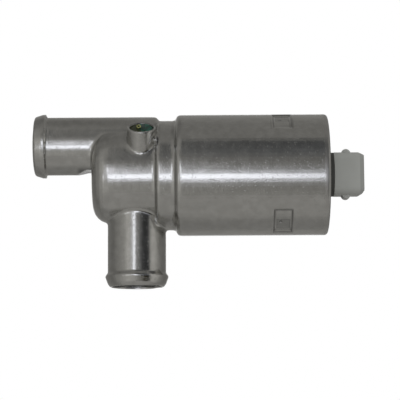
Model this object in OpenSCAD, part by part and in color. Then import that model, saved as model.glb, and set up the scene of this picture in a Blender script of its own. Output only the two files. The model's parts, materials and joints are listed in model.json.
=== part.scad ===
// Idle air control valve: a rotary slide on a shaft, turned by a small rotary magnet against a spiral spring.
// +X runs along the shaft towards the plug, +Z is up, and the outlet pipe points down along -Z.
// The origin is on the shaft's axis, at the middle of the motor can.

/* [Motor can] */
// Outside diameter of the motor can
can_d = 45; // [43:0.5:52]
// Length of the motor can, from its shoulder to its rolled rim
can_len = 56; // [53:0.5:66]
// Wall of the motor can
can_wall = 2.2; // [1.8:0.1:2.6]
// Rounding where the can begins at its shoulder
shoulder_r = 1.3; // [0.6:0.1:1.6]
// Rounding of the can's rolled rim
rim_r = 1.9; // [1:0.1:2.1]
// How far the rolled rim reaches inwards over the end cap
rim_reach = 1.1; // [0.6:0.1:2]
// Thickness of the rolled rim
rim_t = 1.2; // [0.8:0.1:2]
// Step in the bore that the magnet stack is pushed against
bore_step = 1; // [0.6:0.1:1.6]

/* [Neck and valve chamber] */
// How far the neck between the can and the valve chamber steps in from the can
neck_step = 2.1; // [1.8:0.1:3]
// Length of the neck
neck_len = 7.1; // [6:0.1:9]
// Rounding of the neck's edge on the chamber's side
neck_r = 1; // [0.4:0.1:1.4]
// Fillet in the two inside corners of the outer wall
corner_fillet = 0.8; // [0.3:0.1:1]
// Outside diameter of the valve chamber
chamber_d = 35.4; // [34:0.2:37.4]
// Length of the valve chamber, from its front face to the neck
chamber_len = 23.8; // [23:0.2:27]
// Wall of the valve chamber
chamber_wall = 3.4; // [2.6:0.1:4]
// Thickness of the chamber's front wall
chamber_floor = 3; // [2.2:0.1:3.8]
// Rounding of the chamber's front edge
chamber_edge_r = 6.2; // [3:0.1:6.6]

/* [Hose pipes] */
// Outside diameter of both hose pipes
pipe_d = 21.6; // [20.6:0.2:22.4]
// Wall of the inlet pipe
inlet_wall = 2.1; // [1.9:0.1:2.6]
// Wall of the outlet pipe
outlet_wall = 1.55; // [1.4:0.05:2.2]
// Height of the inlet pipe's axis above the shaft
inlet_height = 11.2; // [10.6:0.1:11.8]
// How far the inlet pipe stands out in front of the chamber
inlet_len = 21.8; // [18:0.2:30]
// Distance from the outlet pipe's mouth to the shaft's axis
outlet_reach = 41.5; // [36:0.5:55]
// Distance from the outlet pipe's axis to the neck
outlet_inset = 7.6; // [7.2:0.1:8.4]
// How far the hose bead stands proud of the pipe
bead_rise = 0.9; // [0.4:0.1:1.2]
// Distance from a pipe's mouth to the top of its bead
bead_from_mouth = 3.8; // [3:0.1:6]
// Length of the bead's steep back
bead_back = 1.6; // [0.8:0.1:2.4]
// How far the pipe's outside draws in at its mouth
mouth_draw = 0.6; // [0.3:0.1:0.9]
// Length of the slope that leads from the mouth's rounding to the bead
mouth_slope = 0.6; // [0.3:0.1:1]
// Diameter of the port between the inlet pipe and the chamber
inlet_port_d = 16.4; // [14:0.2:16.8]
// Distance from the chamber's front face to that port
inlet_port_set = 1.2; // [0.6:0.1:2]
// Rounding of the inlet pipe's closed end
inlet_end_r = 1.2; // [0.6:0.1:2]
// Diameter of the port between the chamber and the outlet pipe
outlet_port_d = 17.2; // [14:0.2:17.6]
// Thickness of the lip round that port
port_lip = 2.1; // [1.4:0.1:2.6]
// Depth of the flat relief under the inlet pipe beside the chamber
relief_depth = 1.4; // [0.6:0.1:1.5]
// Length of the relief's slope
relief_slope = 3.7; // [2:0.1:5]
// Length of the relief's flat part
relief_flat = 2.1; // [1:0.1:3]

/* [Stop screw] */
// Outside diameter of the stop screw's boss
boss_d = 10.8; // [10:0.2:12]
// Diameter of the well in the boss that the seal fills
boss_well_d = 8.7; // [8:0.1:9.2]
// Depth of the well
boss_well_depth = 4.4; // [3.4:0.1:5]
// Height of the boss's top above the foot of its axis
boss_height = 21.6; // [20.8:0.1:23]
// How far the boss leans towards the front
boss_lean = 30; // [25:1:35]
// Distance between the boss's axis and the shaft's axis
boss_offset = 6.3; // [6:0.1:6.8]
// Distance from the boss's axis to the neck
boss_inset = 5.3; // [5:0.1:6.5]
// Diameter of the stop screw
stop_screw_d = 5; // [4:0.5:5]
// Diameter of the stop screw's tip
stop_tip_d = 3; // [2:0.25:3.5]
// Length of the stop screw's tip
stop_tip_len = 2.4; // [1:0.1:4]
// Height of the stop screw's tip above the foot of its axis
stop_tip_height = 1.5; // [1.2:0.1:2.4]
// How far the stop screw's head stands up in the well
screw_proud = 1.4; // [0.8:0.1:1.6]
// Width of the slot in the stop screw's head
screw_slot_w = 0.9; // [0.6:0.1:1.2]
// Depth of that slot
screw_slot_depth = 1.2; // [0.6:0.1:1.6]
// Depth of the sealing lacquer in the well
lacquer_depth = 2.8; // [2.2:0.1:3.2]
// How far the lacquer sinks in at its middle
lacquer_dish = 0.65; // [0.3:0.05:0.7]

/* [Staked pockets] */
// Number of pockets staked into the can
stake_count = 3; // [2:1:5]
// Width of a staked pocket along the can
stake_w = 7.1; // [5:0.1:7.8]
// Angle that a staked pocket covers
stake_angle = 36.8; // [26:0.2:44]
// Depth of a staked pocket
stake_depth = 0.8; // [0.4:0.1:1]
// Width of the pocket's sloped sides
stake_slope = 0.7; // [0.4:0.1:1]
// Length of the pocket's sloped ends
stake_end_slope = 1; // [0.6:0.1:1.4]
// Diameter of the punch mark in a pocket's floor
pip_d = 1; // [0.6:0.1:1.4]
// Depth of that punch mark
pip_depth = 0.25; // [0.15:0.05:0.4]
// Distance from the punch mark to the pocket's middle
pip_shift = 0.8; // [0:0.1:1.5]
// Distance from the pockets' middle to the can's end
stake_from_end = 17; // [16:0.2:20]

/* [Shaft and bearings] */
// Diameter of the shaft
shaft_d = 6; // [5:0.5:6.5]
// Outside diameter of both ball bearings
bearing_d = 15; // [14:0.5:16]
// Width of a ball bearing
bearing_w = 5; // [4.6:0.1:5.6]
// Number of balls in a bearing
ball_count = 7; // [5:1:8]
// Diameter of a ball
ball_d = 2.5; // [2:0.1:2.7]
// Thickness of the lip that the front bearing seats on
seat_lip = 2.2; // [1.8:0.1:2.8]
// Thickness of the lip behind the rear bearing's washer
plate_lip = 1.8; // [1.4:0.1:2.2]
// How far both lips reach in over the bearings' outer races
seat_reach = 2.4; // [1.8:0.1:2.6]
// Thickness of the retaining rings
ring_t = 0.8; // [0.6:0.1:1]
// Depth of the groove that holds the front bearing's retaining ring
ring_groove = 0.5; // [0.3:0.1:0.8]
// Wall behind that groove
groove_wall = 0.7; // [0.5:0.1:1.2]
// How far the front ring reaches in over the bearing
front_ring_reach = 1.1; // [0.7:0.1:1.4]
// Depth of the shaft's groove for the rear ring
shaft_groove = 0.5; // [0.3:0.1:0.7]
// How far the rear ring stands out of the shaft
rear_ring_rise = 1.3; // [0.9:0.1:1.6]
// Room in front of the rear bearing for its washer
washer_room = 0.5; // [0.4:0.05:0.8]
// Thickness of the washer's sheet
washer_t = 0.2; // [0.15:0.05:0.3]
// Chamfer at the shaft's ends
shaft_chamfer = 0.5; // [0.3:0.1:0.8]
// Length of shaft behind the rear ring
shaft_tail = 1; // [0.7:0.1:2]
// Thickness of the shaft seal's lip at its edge
seal_lip_t = 0.4; // [0.3:0.05:0.6]
// Length of the shaft seal's lip
seal_lip_len = 0.5; // [0.4:0.1:1]

/* [Rotary slide] */
// Running gap between the slide and the chamber
slide_gap = 0.2; // [0.1:0.05:0.4]
// Thickness of the slide's shutter
slide_wall = 1.6; // [1.2:0.1:2]
// Angle that the shutter covers
slide_angle = 96; // [90:2:104]
// Thickness of the slide's end webs
slide_web = 1.4; // [1:0.1:2]
// Outside diameter of the slide's hub
slide_hub_d = 10; // [9:0.2:11]
// Gap between the slide and the chamber's end walls
slide_end_gap = 1; // [0.6:0.1:1.2]
// Reach of the lug that meets the stop screw
lug_reach = 9.6; // [8.6:0.1:11]
// Thickness of that lug
lug_t = 4; // [3:0.1:5]
// Width of that lug along the shaft
lug_w = 4.4; // [3.6:0.1:6]
// Diameter of the pin through the slide's hub
slide_pin_d = 2; // [1.5:0.1:2.5]
// Distance from the slide's front end to that pin
slide_pin_inset = 4; // [3.4:0.1:6]
// How far the shaft's front end is set back in the slide
shaft_set_back = 0.4; // [0.2:0.1:1]

/* [Rotary magnet] */
// Thickness of the magnet stack's outer ring
yoke_t = 2.7; // [2:0.1:3]
// Width of a pole's stem
pole_w = 8.6; // [8:0.2:10]
// Thickness of a pole's shoe
shoe_t = 1.5; // [1:0.1:1.7]
// Angle that a pole's shoe covers
shoe_angle = 104; // [90:2:130]
// Air gap between the rotor and the shoes
air_gap = 0.3; // [0.2:0.05:0.5]
// Thickness of the rotor's magnets
magnet_t = 1.8; // [1.4:0.1:2.6]
// Angle that each magnet covers
magnet_angle = 140; // [100:5:160]
// How far the coils stand out beyond the stack
coil_over = 4; // [3:0.1:5]
// Half width of a coil's flanges
coil_half_w = 7.4; // [7:0.1:8]
// Gap between a coil's flanges and the stack's ring
coil_clear = 0.35; // [0.2:0.05:0.8]
// How far a winding stays in from its flanges' edges
winding_inset = 0.3; // [0.1:0.1:0.6]
// Thickness of a coil former's wall and flanges
former_t = 0.9; // [0.6:0.1:1.2]
// Share of the room between the shaft and the stack's ring that a coil takes
coil_share = 0.335; // [0.3:0.005:0.36]
// Length of the spacer ring between the stack and the bearing plate
spacer_len = 5; // [4.4:0.1:6]
// Thickness of the spacer ring
spacer_t = 1.5; // [1:0.1:2]

/* [Return spring] */
// Width of the spring's strip
spring_w = 3; // [2:0.1:4]
// Thickness of the spring's strip
spring_t = 0.4; // [0.3:0.05:0.5]
// Number of the spring's turns
spring_turns = 3.5; // [2.5:1:4.5]
// Radius of the spring's outer turn
spring_r = 11.4; // [10:0.2:12]
// Diameter of the spring's hub
spring_hub_d = 10; // [9:0.2:10.4]
// Diameter of the post that holds the spring's outer end
spring_post_d = 1.6; // [1.2:0.1:2]
// Depth of the post's seat in the housing
spring_post_set = 2; // [1.4:0.1:2.6]
// How far the post stands past the spring
spring_post_tail = 0.4; // [0.2:0.1:1]
// How far the hub stands out in front of the spring
hub_front = 0.5; // [0.2:0.1:0.8]
// How far the hub stands out behind the spring
hub_back = 0.8; // [0.4:0.1:1.4]
// Metal between the hub's slot and the shaft
hub_slot_floor = 0.6; // [0.4:0.1:0.9]
// Gap between the hub and the spring's first turn
spring_hub_gap = 0.5; // [0.3:0.1:1]
// Clear room in front of the spring
spring_room = 1; // [0.6:0.1:2]
// Clear room between the spring and the coils
coil_room = 2.6; // [1.6:0.1:4]

/* [Bearing plate and end cap] */
// Width of the bearing plate's rim
plate_w = 8; // [7.9:0.1:9]
// Thickness of the bearing plate's rim
plate_rim_t = 3; // [2.4:0.1:3.6]
// Thickness of the bearing plate's web
plate_web_t = 3; // [2:0.1:4]
// Diameter of the bearing plate's hub
plate_hub_d = 19; // [18:0.2:20]
// How far the hub's face stands back from the plate's front
plate_hub_set = 0.5; // [0.3:0.1:1]
// How far the hub's other face stands back from the plate's rear
plate_hub_back = 0.2; // [0.1:0.1:0.6]
// Number of wire holes in the bearing plate
wire_hole_count = 4; // [2:2:6]
// Diameter of the wire holes in the bearing plate
wire_hole_d = 3.6; // [3:0.1:4.2]
// Thickness of a grommet's flange
grommet_flange_t = 0.6; // [0.4:0.1:1]
// How far a grommet's flange stands out round its hole
grommet_flange_w = 0.5; // [0.3:0.1:0.8]
// How far a grommet stands out behind its hole
grommet_tail = 0.4; // [0.2:0.1:1]
// Diameter of the lead wires
wire_d = 1; // [0.8:0.1:1.2]
// Thickness of the end cap
cap_t = 4; // [3.6:0.1:5]
// Diameter of the end cap's neck
cap_neck_d = 16.4; // [15:0.2:18]
// How far the end cap's neck stands out of the can
cap_neck_len = 2.4; // [1.6:0.1:4]
// Chamfer at the root of the end cap's neck
cap_neck_chamfer = 1.2; // [0.6:0.1:2]
// Chamfer at the end cap's inner edge
cap_edge = 0.3; // [0.2:0.1:0.6]
// Thickness of the sealing ring
seal_d = 1.8; // [1.4:0.1:2]
// Room beside the sealing ring in its groove
seal_room = 0.2; // [0.1:0.05:0.4]

/* [Plug connector] */
// Long side of the plug's shroud
shroud_w = 16; // [15.4:0.1:18]
// Short side of the plug's shroud
shroud_h = 10.4; // [10:0.1:12]
// Depth of the shroud from its floor to its mouth
shroud_len = 11; // [10.4:0.1:14]
// Corner radius of the shroud
shroud_r = 3; // [2:0.1:3.6]
// Thickness of the shroud's long walls
shroud_wall = 1.5; // [1.2:0.1:1.7]
// Thickness of the shroud's short walls
shroud_end_wall = 2.2; // [2:0.1:2.4]
// Thickness of the shroud's floor
shroud_floor = 2; // [1.4:0.1:3]
// Length of the bevel at the shroud's mouth
bevel_len = 2.2; // [1:0.1:3]
// Depth of the bevel at the shroud's mouth
bevel_depth = 1.4; // [0.6:0.1:1.6]
// Length of a locking lug
plug_lug_len = 3.3; // [2.6:0.1:4]
// Height of a locking lug
plug_lug_h = 1.2; // [0.8:0.1:1.5]
// Width of a locking lug
plug_lug_w = 5.6; // [4:0.2:6.4]
// Distance from the shroud's floor to the lugs' middle
plug_lug_from_floor = 4.5; // [3.5:0.1:6]
// Diameter of the shroud's stem
stem_d = 10; // [9.4:0.1:11]
// Distance between the two blades
blade_pitch = 5; // [4.6:0.1:5.6]
// Width of a blade
blade_w = 2.8; // [2.4:0.1:3.2]
// Thickness of a blade
blade_t = 0.8; // [0.6:0.1:1]
// Distance from the blades' tips to the shroud's mouth
blade_set_back = 4.5; // [4.3:0.1:5.4]
// Length of a blade's bevelled tip
blade_tip = 0.7; // [0.4:0.1:1]
// How far a blade runs on behind the end cap
blade_tail = 3.6; // [3:0.1:4.4]
// Distance from a blade's inner end to its eye
eye_inset = 1.4; // [1.1:0.1:2]
// How far the shroud's stem runs on behind the end cap
stem_tail = 1; // [0.5:0.1:2]

/* [Hidden] */

$fn = 72;
cut = 1;             // how far a cutter runs past a face
slip = 0.05;         // gap between pieces that are slipped together
run_gap = 0.03;      // radial gap of a running fit
press_gap = 0.01;    // radial gap of a pressed or glued seat
touch = 0.02;        // gap between faces that lean on each other
weld = 0.5;          // how far two shapes of one piece run into each other
arc_steps = 6;       // straight steps in a rounded corner of an outline
fine_fn = 32;        // sides of a small round shape
race_share = 0.56;   // a race's distance from the balls' path, as a share of a ball's radius
cage_gap = 0.25;     // gap between a cage and its races
cage_inset = 0.3;    // how far a cage stays in from a bearing's faces
seal_root = 0.7;     // thickness of the shaft seal where its lip begins
seal_back = 1;       // gap between the shaft and the seal's back
mouth_arc_end = -30; // direction in which the mouth's rounding ends
stake_reach = 4;     // how far a staking's wedge reaches in past its floor
stake_taper = 0.2;   // how much narrower the wedge is at its inner end
front_ring_deg = 320;    // angle that the front ring covers
rear_ring_deg = 300;     // angle that the rear ring covers
washer_in_gap = 0.2;     // gap between the washer's inner edge and the seat's hole
washer_out_gap = 0.3;    // gap between the washer's outer edge and the bearing's seat
min_corner_r = 0.8;      // smallest inside corner of the shroud
shroud_fn = 40;          // sides of the shroud's corners

// Shape of the lacquer's top: share of the well's radius, and share of the dish
lacquer_shape = [[1, 0], [0.86, 0.54], [0.5, 0.92], [0, 1]];
// Shape of the bead: share of its rise, and place from its top as a share of its back
bead_shape = [[0.85, -0.31], [1, 0], [0.9, 0.2], [0.12, 0.85], [0, 1]];
front_deg = -90;     // direction of the front around the shaft, counted from straight down

// Radii
can_r = can_d / 2;
neck_outer_r = can_r - neck_step;
chamber_r = chamber_d / 2;
cavity_r = chamber_r - chamber_wall;
bore_r = can_r - can_wall;
front_bore_r = bore_r - bore_step;
mouth_r = bore_r - rim_reach;
pipe_r = pipe_d / 2;
inlet_bore_r = pipe_r - inlet_wall;
outlet_bore_r = pipe_r - outlet_wall;
boss_well_r = boss_well_d / 2;
stop_screw_r = stop_screw_d / 2;
shaft_r = shaft_d / 2;
bearing_r = bearing_d / 2;
ball_r = ball_d / 2;
ball_path_r = (shaft_r + bearing_r) / 2;
race_half_gap = ball_r * race_share;
race_groove_r = ball_r + run_gap;
seat_hole_r = bearing_r - seat_reach;
yoke_in_r = bore_r - slip - yoke_t;
coil_top = sqrt(pow(yoke_in_r - coil_clear, 2) - pow(coil_half_w, 2));
former_h = (coil_top - shaft_r) * coil_share;
shoe_out_r = coil_top - former_h - slip;
shoe_in_r = shoe_out_r - shoe_t;
rotor_r = shoe_in_r - air_gap;
slide_out_r = cavity_r - slide_gap;
slide_in_r = slide_out_r - slide_wall;
slide_hub_r = slide_hub_d / 2;
spring_hub_r = spring_hub_d / 2;
plate_hub_r = plate_hub_d / 2;
plate_rim_r = bore_r - slip - plate_rim_t;
wire_hole_r = (plate_hub_r + plate_rim_r) / 2;

// Places along the shaft
can_x0 = -can_len / 2;
can_x1 = can_len / 2;
neck_x0 = can_x0 - neck_len;
chamber_x0 = neck_x0 - chamber_len;
cavity_x0 = chamber_x0 + chamber_floor;
inlet_x0 = chamber_x0 - inlet_len;
inlet_x1 = neck_x0 + weld;
outlet_x = neck_x0 - outlet_inset;
boss_x = neck_x0 - boss_inset;
cavity_x1 = outlet_x + outlet_bore_r + slip;
front_bearing_x = cavity_x1 + seat_lip;
front_ring_x = front_bearing_x + bearing_w + slip;
partition_x1 = front_ring_x + ring_t + 2 * slip + groove_wall;
spring_x = partition_x1 + spring_room;
stack_x0 = spring_x + spring_w + coil_room + coil_over;
stake_x = can_x1 - stake_from_end;
plate_x0 = stake_x - plate_w / 2;
plate_x1 = plate_x0 + plate_w;
stack_x1 = plate_x0 - spacer_len;
stack_len = stack_x1 - stack_x0;
rear_seat_x = plate_x0 + plate_hub_set + plate_lip;
rear_bearing_x = rear_seat_x + washer_room;
rear_ring_x = rear_bearing_x + bearing_w + slip;
slide_x0 = cavity_x0 + slide_end_gap;
slide_x1 = cavity_x1 - slide_end_gap;
slide_pin_x = slide_x0 + slide_pin_inset;
shaft_x0 = slide_x0 + shaft_set_back;
shaft_x1 = rear_ring_x + ring_t + shaft_tail;
cap_x1 = can_x1 - rim_t - slip;
cap_x0 = cap_x1 - cap_t;
shroud_x0 = can_x1 + cap_neck_len;
shroud_x1 = shroud_x0 + shroud_len;
stem_x0 = cap_x0 - stem_tail;
blade_x0 = cap_x0 - blade_tail;
blade_x1 = shroud_x1 - blade_set_back;
lead_x = blade_x0 + eye_inset;
hub_x0 = spring_x - hub_front;
hub_x1 = spring_x + spring_w + hub_back;
web_x0 = (plate_x0 + plate_x1 - plate_web_t) / 2;

// Directions round the shaft, and places of the spring's ends
spring_step = 15;
spring_post_deg = 90;
spring_start_deg = spring_post_deg - spring_turns * 360;
spring_in_r = spring_hub_r + spring_hub_gap;
spring_hook_r = spring_post_d / 2 + slip;
spring_post_r = spring_r + spring_hook_r + 0.75 * spring_t;

// Points along an arc, for the rounded corners of outlines
function arc(cx, cy, r, from, to) =
    [for (i = [0:arc_steps]) let (a = from + (to - from) * i / arc_steps) [cx + r * cos(a), cy + r * sin(a)]];

// Turns a solid that stands along Z into one that lies along X
module along_x(x) {
    translate([x, 0, 0]) rotate([0, 90, 0]) children();
}

// A round bar along X
module bar(x0, x1, r) {
    along_x(x0) cylinder(h = x1 - x0, r = r);
}

// A round tube along X
module tube(x0, x1, r_out, r_in) {
    along_x(x0) rotate_extrude() translate([r_in, 0]) square([r_out - r_in, x1 - x0]);
}

// A part of a tube along X, centred on a direction that is counted from straight down towards the back
module tube_sector(x0, x1, r_out, r_in, middle, angle) {
    along_x(x0) rotate([0, 0, middle - angle / 2]) rotate_extrude(angle = angle)
        translate([r_in, 0]) square([r_out - r_in, x1 - x0]);
}

// Stands a solid on the axis of the stop screw's boss
module at_boss(height) {
    translate([boss_x, 0, 0]) rotate([boss_lean, 0, 0]) translate([0, -boss_offset, height]) children();
}

// Outline of the chamber, as radius and place along X
function chamber_outline() = concat(
    [[0, chamber_x0]],
    arc(chamber_r - chamber_edge_r, chamber_x0 + chamber_edge_r, chamber_edge_r, -90, 0),
    arc(chamber_r + corner_fillet, neck_x0 - corner_fillet, corner_fillet, 180, 90),
    [[chamber_r + corner_fillet, neck_x0 + weld], [0, neck_x0 + weld]]
);

// Outline of the neck and the can, as radius and place along X
function can_outline() =
    let (root_r = min(corner_fillet, neck_step - shoulder_r))
    concat(
        [[0, neck_x0]],
        arc(neck_outer_r - neck_r, neck_x0 + neck_r, neck_r, -90, 0),
        arc(neck_outer_r + root_r, can_x0 - root_r, root_r, 180, 90),
        arc(can_r - shoulder_r, can_x0 + shoulder_r, shoulder_r, -90, 0),
        arc(can_r - rim_r, can_x1 - rim_r, rim_r, 0, 90),
        [[0, can_x1]]
    );

// Outline of a hose pipe with its bead, as radius and distance from the mouth
function pipe_outline(len, end_r) = concat(
    [[0, 0]],
    arc(pipe_r - 2 * mouth_draw, mouth_draw, mouth_draw, -90, mouth_arc_end),
    [[pipe_r, mouth_draw + mouth_slope]],
    [for (p = bead_shape) [pipe_r + bead_rise * p[0], bead_from_mouth + bead_back * p[1]]],
    arc(pipe_r - end_r, len - end_r, end_r, 0, 90),
    [[0, len]]
);

module inlet_outside() {
    translate([0, 0, inlet_height]) along_x(inlet_x0) rotate_extrude()
        polygon(pipe_outline(inlet_x1 - inlet_x0, inlet_end_r));
}

module outlet_outside() {
    translate([outlet_x, 0, -outlet_reach]) rotate_extrude()
        polygon(pipe_outline(outlet_reach - cavity_r / 2, weld));
}

// Flat relief under the inlet pipe, just in front of the chamber
module inlet_relief() {
    under = inlet_height - pipe_r;
    x1 = chamber_x0;
    rotate([90, 0, 0]) translate([0, 0, -pipe_r]) linear_extrude(2 * pipe_r) polygon([
        [x1 - relief_flat - relief_slope, under],
        [x1 - relief_flat, under + relief_depth],
        [x1, under + relief_depth],
        [x1, under - cut],
        [x1 - relief_flat - relief_slope, under - cut]
    ]);
}

// Wedge seen along X that gives a staked pocket its sloped ends
module stake_wedge(grow) {
    floor_r = can_r - stake_depth;
    half = stake_angle / 2;
    floor_half = half - stake_end_slope / floor_r * 180 / PI;
    top = [can_r * cos(half), can_r * sin(half)];
    low = [floor_r * cos(floor_half), floor_r * sin(floor_half)];
    lean = (top[1] - low[1]) / (top[0] - low[0]);
    near = low[0] - stake_reach;
    far = can_r + cut;
    y_near = low[1] - stake_taper + grow;
    y_far = low[1] + lean * (far - low[0]) + grow;
    linear_extrude(stake_w + 2 * cut) polygon([
        [near, -y_near], [low[0], -low[1] - grow], [far, -y_far],
        [far, y_far], [low[0], low[1] + grow], [near, y_near]
    ]);
}

// Places a staked pocket's shape at each of its places round the can
module each_stake() {
    for (i = [0:stake_count - 1])
        along_x(stake_x) rotate([0, 0, -front_deg + i * 360 / stake_count]) children();
}

// Cutter for the outside of one staked pocket
module stake_pocket() {
    half = stake_w / 2;
    intersection() {
        rotate_extrude() polygon([
            [can_r - stake_depth, -half + stake_slope], [can_r, -half], [can_r + cut, -half - stake_slope],
            [can_r + cut, half + stake_slope], [can_r, half], [can_r - stake_depth, half - stake_slope]
        ]);
        translate([0, 0, -half - cut]) stake_wedge(0);
    }
}

// Cutter for the punch mark in a staked pocket's floor
module stake_pip() {
    floor_r = can_r - stake_depth;
    translate([floor_r - pip_depth, 0, -pip_shift]) rotate([0, 90, 0])
        cylinder(h = pip_depth + stake_depth + cut, d = pip_d, $fn = fine_fn);
}

// The metal that a staking pushes inwards
module stake_dent(grow) {
    half = stake_w / 2 - stake_slope + grow;
    intersection() {
        translate([0, 0, -half]) difference() {
            cylinder(h = 2 * half, r = bore_r + cut);
            translate([0, 0, -cut]) cylinder(h = 2 * half + 2 * cut, r = bore_r - stake_depth - grow);
        }
        translate([0, 0, -stake_w / 2 - cut]) stake_wedge(grow);
    }
}

module housing() {
    color([0.64, 0.64, 0.62]) difference() {
        union() {
            along_x(0) rotate_extrude() polygon(chamber_outline());
            along_x(0) rotate_extrude() polygon(can_outline());
            difference() {
                inlet_outside();
                inlet_relief();
            }
            outlet_outside();
            at_boss(cavity_r / 2) cylinder(h = boss_height - cavity_r / 2, d = boss_d);
        }
        bar(cavity_x0, cavity_x1, cavity_r);
        translate([0, 0, inlet_height]) {
            bar(inlet_x0 - cut, chamber_x0 + inlet_port_set, inlet_bore_r);
            bar(chamber_x0, inlet_x1 - inlet_wall, inlet_port_d / 2);
        }
        translate([outlet_x, 0, -outlet_reach - cut]) {
            cylinder(h = outlet_reach + cut - cavity_r - port_lip, r = outlet_bore_r);
            cylinder(h = outlet_reach + cut - cavity_r / 2, d = outlet_port_d);
        }
        at_boss(boss_height - boss_well_depth) cylinder(h = boss_well_depth + cut, r = boss_well_r);
        at_boss(cavity_r / 2) cylinder(h = boss_height, d = stop_screw_d + 2 * slip);
        bar(cavity_x1 - cut, partition_x1 + cut, seat_hole_r);
        bar(front_bearing_x, partition_x1 + cut, bearing_r + slip / 2);
        bar(front_ring_x - slip, front_ring_x + ring_t + slip, bearing_r + ring_groove);
        bar(partition_x1, stack_x0 + cut, front_bore_r);
        difference() {
            bar(stack_x0, can_x1 - rim_t, bore_r);
            each_stake() stake_dent(0);
        }
        bar(can_x1 - rim_t - cut, can_x1 + cut, mouth_r);
        spring_post_place() translate([0, 0, -spring_post_set])
            cylinder(h = spring_post_set + cut, d = spring_post_d);
        each_stake() stake_pocket();
        each_stake() stake_pip();
    }
}

module stop_screw() {
    body_h = stop_tip_height + stop_tip_len;
    top_h = boss_height - boss_well_depth + screw_proud;
    color([0.72, 0.7, 0.62]) difference() {
        union() {
            at_boss(stop_tip_height) cylinder(h = stop_tip_len + cut, d = stop_tip_d);
            at_boss(body_h) cylinder(h = top_h - body_h, d = stop_screw_d);
        }
        at_boss(top_h - screw_slot_depth) translate([-stop_screw_d, -screw_slot_w / 2, 0])
            cube([2 * stop_screw_d, screw_slot_w, screw_slot_depth + cut]);
    }
}

module sealing_lacquer() {
    floor_h = boss_height - boss_well_depth;
    screw_h = screw_proud + slip;
    top_r = boss_well_r - slip / 2;
    color([0.05, 0.22, 0.16]) at_boss(floor_h + slip / 2) rotate_extrude() polygon(concat(
        [[0, screw_h], [stop_screw_r + slip, screw_h], [stop_screw_r + slip, 0], [top_r, 0]],
        [for (p = lacquer_shape) [top_r * p[0], lacquer_depth - lacquer_dish * p[1]]]
    ));
}

module rotary_slide() {
    lug_face = stop_tip_height - slip;
    color([0.3, 0.31, 0.33]) difference() {
        union() {
            bar(slide_x0, slide_x1, slide_hub_r);
            tube_sector(slide_x0, slide_x1, slide_out_r, slide_in_r, 0, slide_angle);
            for (x = [slide_x0, slide_x1 - slide_web])
                tube_sector(x, x + slide_web, slide_in_r + weld, slide_hub_r - weld, 0, slide_angle);
            along_x(boss_x - lug_w / 2) rotate([0, 0, front_deg + boss_lean])
                translate([shaft_r, -lug_face, 0]) cube([lug_reach - shaft_r, lug_t, lug_w]);
        }
        bar(slide_x0 - cut, slide_x1 + cut, shaft_r + press_gap);
        translate([slide_pin_x, 0, 0])
            cylinder(h = 2 * slide_hub_d, d = slide_pin_d + 2 * press_gap, center = true);
    }
}

module slide_pin() {
    color([0.75, 0.75, 0.76]) translate([slide_pin_x, 0, 0])
        cylinder(h = slide_hub_d - 2 * slip, d = slide_pin_d, center = true);
}

module shaft() {
    groove_r = shaft_r - shaft_groove;
    color([0.78, 0.78, 0.8]) difference() {
        along_x(0) rotate_extrude() polygon([
            [0, shaft_x0],
            [shaft_r - shaft_chamfer, shaft_x0],
            [shaft_r, shaft_x0 + shaft_chamfer],
            [shaft_r, rear_ring_x - slip],
            [groove_r, rear_ring_x - slip],
            [groove_r, rear_ring_x + ring_t + slip],
            [shaft_r, rear_ring_x + ring_t + slip],
            [shaft_r, shaft_x1 - shaft_chamfer],
            [shaft_r - shaft_chamfer, shaft_x1],
            [0, shaft_x1]
        ]);
        translate([slide_pin_x, 0, 0])
            cylinder(h = 2 * shaft_d, d = slide_pin_d + 2 * press_gap, center = true);
    }
}

// Rubber lip ring that keeps dirty air out of the front bearing
module shaft_seal() {
    x0 = cavity_x1 + 2 * slip;
    lip_x1 = x0 + seal_lip_len;
    x1 = front_bearing_x - slip;
    color([0.1, 0.1, 0.1]) along_x(0) rotate_extrude() polygon([
        [shaft_r + run_gap, x0],
        [shaft_r + seal_lip_t, x0],
        [shaft_r + seal_root, lip_x1],
        [seat_hole_r - slip / 2, lip_x1],
        [seat_hole_r - slip / 2, x1],
        [shaft_r + seal_back, x1],
        [shaft_r + run_gap, lip_x1 + 2 * slip]
    ]);
}

module outer_race(x) {
    color([0.8, 0.8, 0.82]) difference() {
        tube(x, x + bearing_w, bearing_r, ball_path_r + race_half_gap);
        along_x(x + bearing_w / 2) rotate_extrude() translate([ball_path_r, 0]) circle(r = race_groove_r);
    }
}

module inner_race(x) {
    color([0.8, 0.8, 0.82]) difference() {
        tube(x, x + bearing_w, ball_path_r - race_half_gap, shaft_r + press_gap);
        along_x(x + bearing_w / 2) rotate_extrude() translate([ball_path_r, 0]) circle(r = race_groove_r);
    }
}

module ball_set(x) {
    color([0.85, 0.85, 0.87]) for (i = [0:ball_count - 1])
        along_x(x + bearing_w / 2) rotate([0, 0, i * 360 / ball_count])
            translate([ball_path_r, 0, 0]) sphere(r = ball_r);
}

module ball_cage(x) {
    half_t = race_half_gap - cage_gap;
    half_w = bearing_w / 2 - cage_inset;
    mid_x = x + bearing_w / 2;
    color([0.72, 0.6, 0.35]) difference() {
        tube(mid_x - half_w, mid_x + half_w, ball_path_r + half_t, ball_path_r - half_t);
        for (i = [0:ball_count - 1])
            along_x(mid_x) rotate([0, 0, i * 360 / ball_count]) translate([ball_path_r, 0, 0])
                rotate([0, 90, 0]) cylinder(h = 4 * half_t, r = ball_r + slip, center = true);
    }
}

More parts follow.
